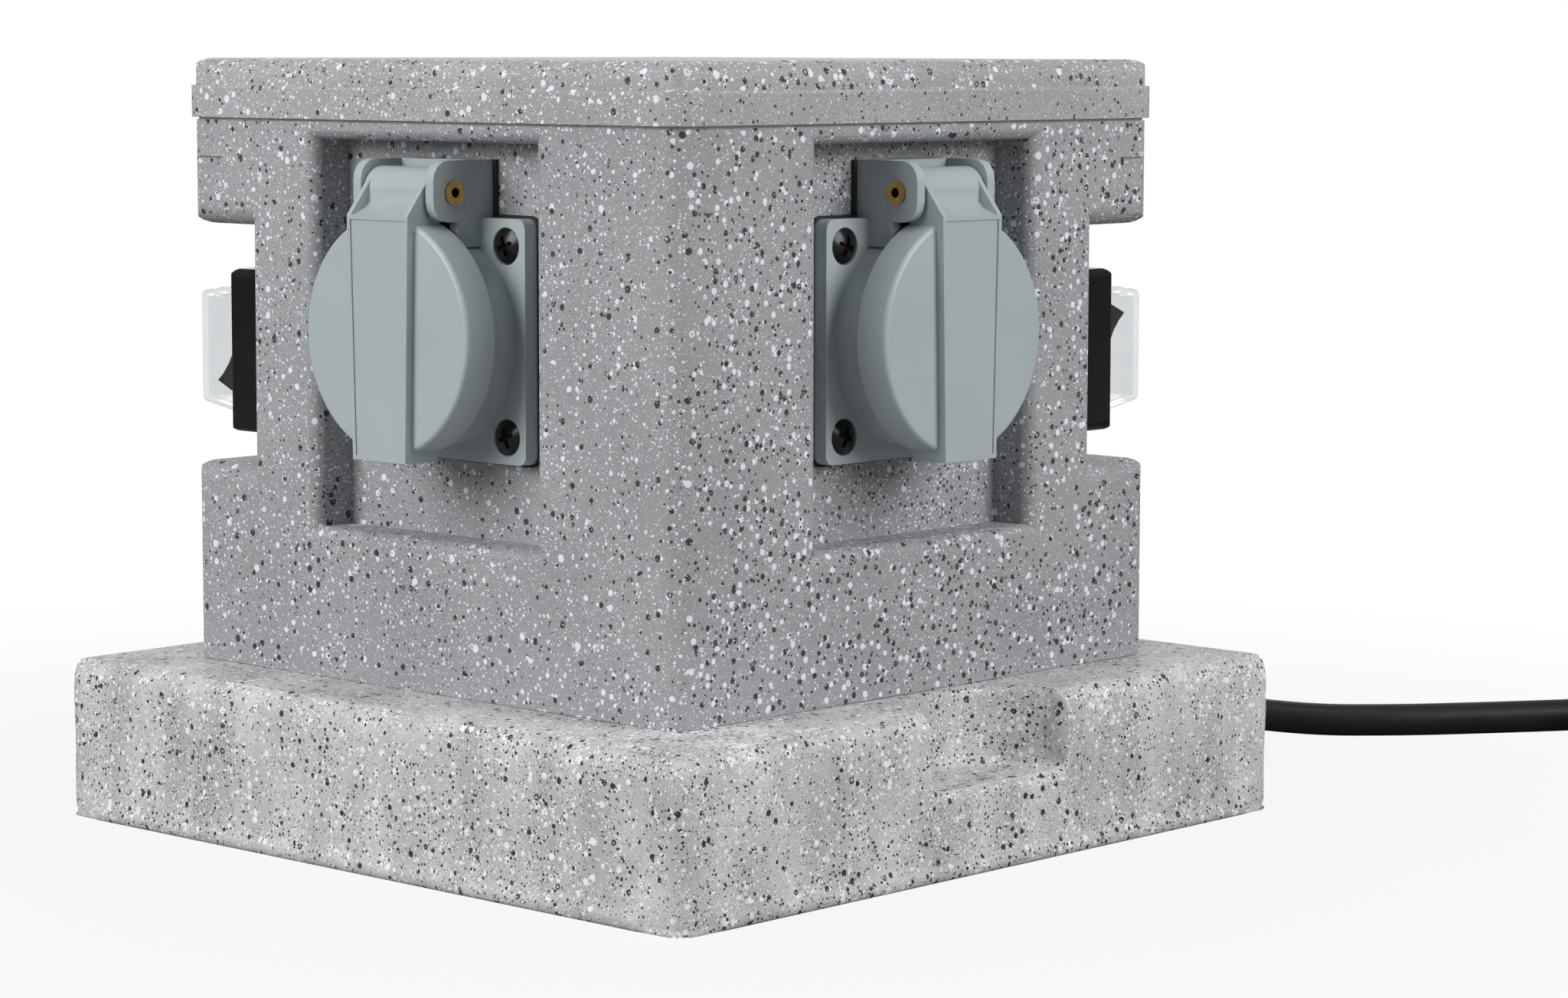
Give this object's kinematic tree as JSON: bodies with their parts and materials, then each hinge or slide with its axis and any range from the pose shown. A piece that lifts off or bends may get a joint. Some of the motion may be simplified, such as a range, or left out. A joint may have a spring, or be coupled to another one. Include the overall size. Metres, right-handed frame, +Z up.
{
  "type": "garden socket post",
  "caption": "Stone-look garden power post on a square fixing base, with lidded sockets on its front faces, hooded rocker switches in its side corners and a coiled rubber lead.",
  "frame": {"origin": "under the middle of the base, on the ground", "axes": "+Z up; -X out of the left socket face, -Y out of the right socket face, +X towards the lead"},
  "size_m": [0.4031, 0.3143, 0.1635],
  "materials": {
    "stone_base": "matt, hewn, light grey with fine black and white specks",
    "stone_body": "fine matt grain, mid grey with black and white specks",
    "socket_grey": "smooth light blue-grey, satin",
    "switch_black": "smooth glossy black",
    "clear_hood": "clear, soft, slightly hazy",
    "black_screw": "smooth black",
    "seal_rubber": "matt black",
    "cord_rubber": "matt black, slightly dusty",
    "brass": "bright",
    "steel": "zinc bright",
    "white_plastic": "plain",
    "wire_brown": "plain",
    "wire_blue": "plain",
    "wire_green": "green and yellow"
  },
  "bodies": {
    "post": {"base": "stone_base", "base_plate": "stone_body", "base_plate_screws": "steel", "column": "stone_body", "tie_screws": "steel", "top_cover": "stone_body", "top_seal": "seal_rubber", "left_gasket": "seal_rubber", "left_socket": "socket_grey", "left_insert": "socket_grey", "left_contacts": "brass", "left_earth_clip": "brass", "left_socket_screws": "black_screw", "left_hinge_pin": "brass", "left_lid_spring": "steel", "right_gasket": "seal_rubber", "right_socket": "socket_grey", "right_insert": "socket_grey", "right_contacts": "brass", "right_earth_clip": "brass", "right_socket_screws": "black_screw", "right_hinge_pin": "brass", "right_lid_spring": "steel", "left_switch": "switch_black", "left_hood": "clear_hood", "left_switch_tabs": "brass", "right_switch": "switch_black", "right_hood": "clear_hood", "right_switch_tabs": "brass", "terminal_block": "white_plastic", "terminal_screws": "steel", "live_wires": "wire_brown", "neutral_wires": "wire_blue", "earth_wires": "wire_green", "cord_clamp": "switch_black", "cord_clamp_screws": "steel", "cord_inner": "cord_rubber", "cord_relief": "cord_rubber", "cord_run": "cord_rubber", "cord_coil": "cord_rubber", "plug_body": "cord_rubber", "plug_pins": "brass", "plug_earth": "brass"},
    "left_lid": {"left_lid": "socket_grey", "left_lid_seal": "seal_rubber"},
    "right_lid": {"right_lid": "socket_grey", "right_lid_seal": "seal_rubber"},
    "left_rocker": {"left_rocker": "switch_black"},
    "right_rocker": {"right_rocker": "switch_black"}
  },
  "joints": [
    {"name": "left_lid_hinge", "type": "hinge", "parent": "post", "child": "left_lid", "pos_m": [-0.07475, 0, 0.137], "axis": [0, 1, 0], "range_deg": [0, 110], "stiffness_Nm_per_rad": 0.01, "springref_deg": -57.3},
    {"name": "right_lid_hinge", "type": "hinge", "parent": "post", "child": "right_lid", "pos_m": [0, -0.07475, 0.137], "axis": [-1, 0, 0], "range_deg": [0, 110], "stiffness_Nm_per_rad": 0.01, "springref_deg": -57.3},
    {"name": "left_rocker_pivot", "type": "hinge", "parent": "post", "child": "left_rocker", "pos_m": [-0.05705, 0.06055, 0.1015], "axis": [-1, 0, 0], "range_deg": [0, 30]},
    {"name": "right_rocker_pivot", "type": "hinge", "parent": "post", "child": "right_rocker", "pos_m": [0.06055, -0.05705, 0.1015], "axis": [0, 1, 0], "range_deg": [-30, 0]}
  ]
}
